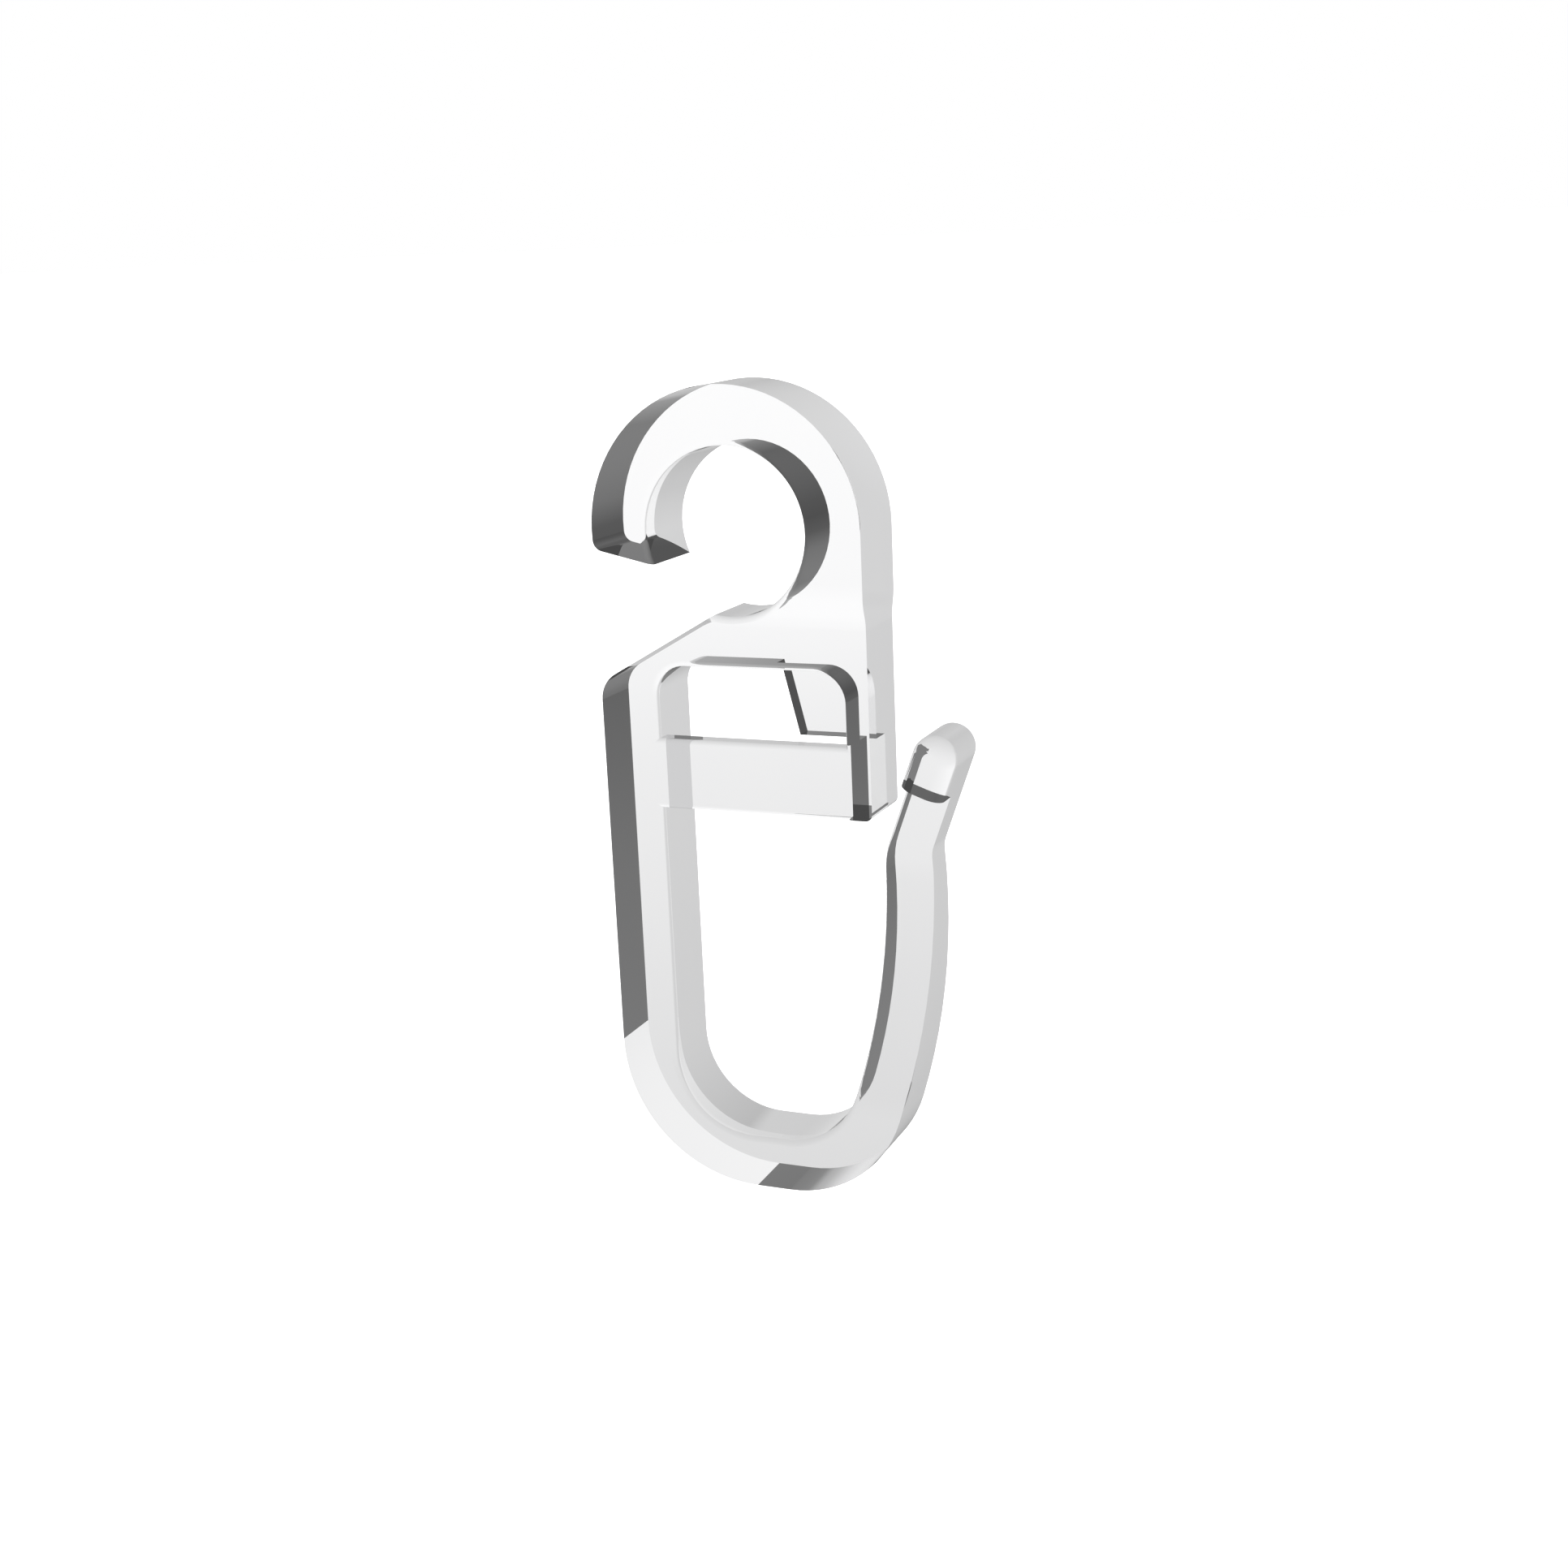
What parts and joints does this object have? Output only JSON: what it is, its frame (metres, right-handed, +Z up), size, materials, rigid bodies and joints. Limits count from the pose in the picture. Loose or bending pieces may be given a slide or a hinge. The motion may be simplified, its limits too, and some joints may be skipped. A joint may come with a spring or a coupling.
{
  "type": "curtain hook",
  "caption": "Clear plastic curtain hook with an open round eye, a framed window under it and a deep J-shaped loop with a round-nosed free arm.",
  "frame": {"origin": "centre of the eye hole at mid thickness, where the hook hangs on its ring", "axes": "+Z up as it hangs, +X towards the free arm, -Y the front with the crossbar"},
  "size_m": [0.0158, 0.0036, 0.035],
  "materials": {
    "clear_plastic": "clear, gloss"
  },
  "bodies": {
    "root": {"curtain_hook": "clear_plastic"}
  },
  "joints": []
}
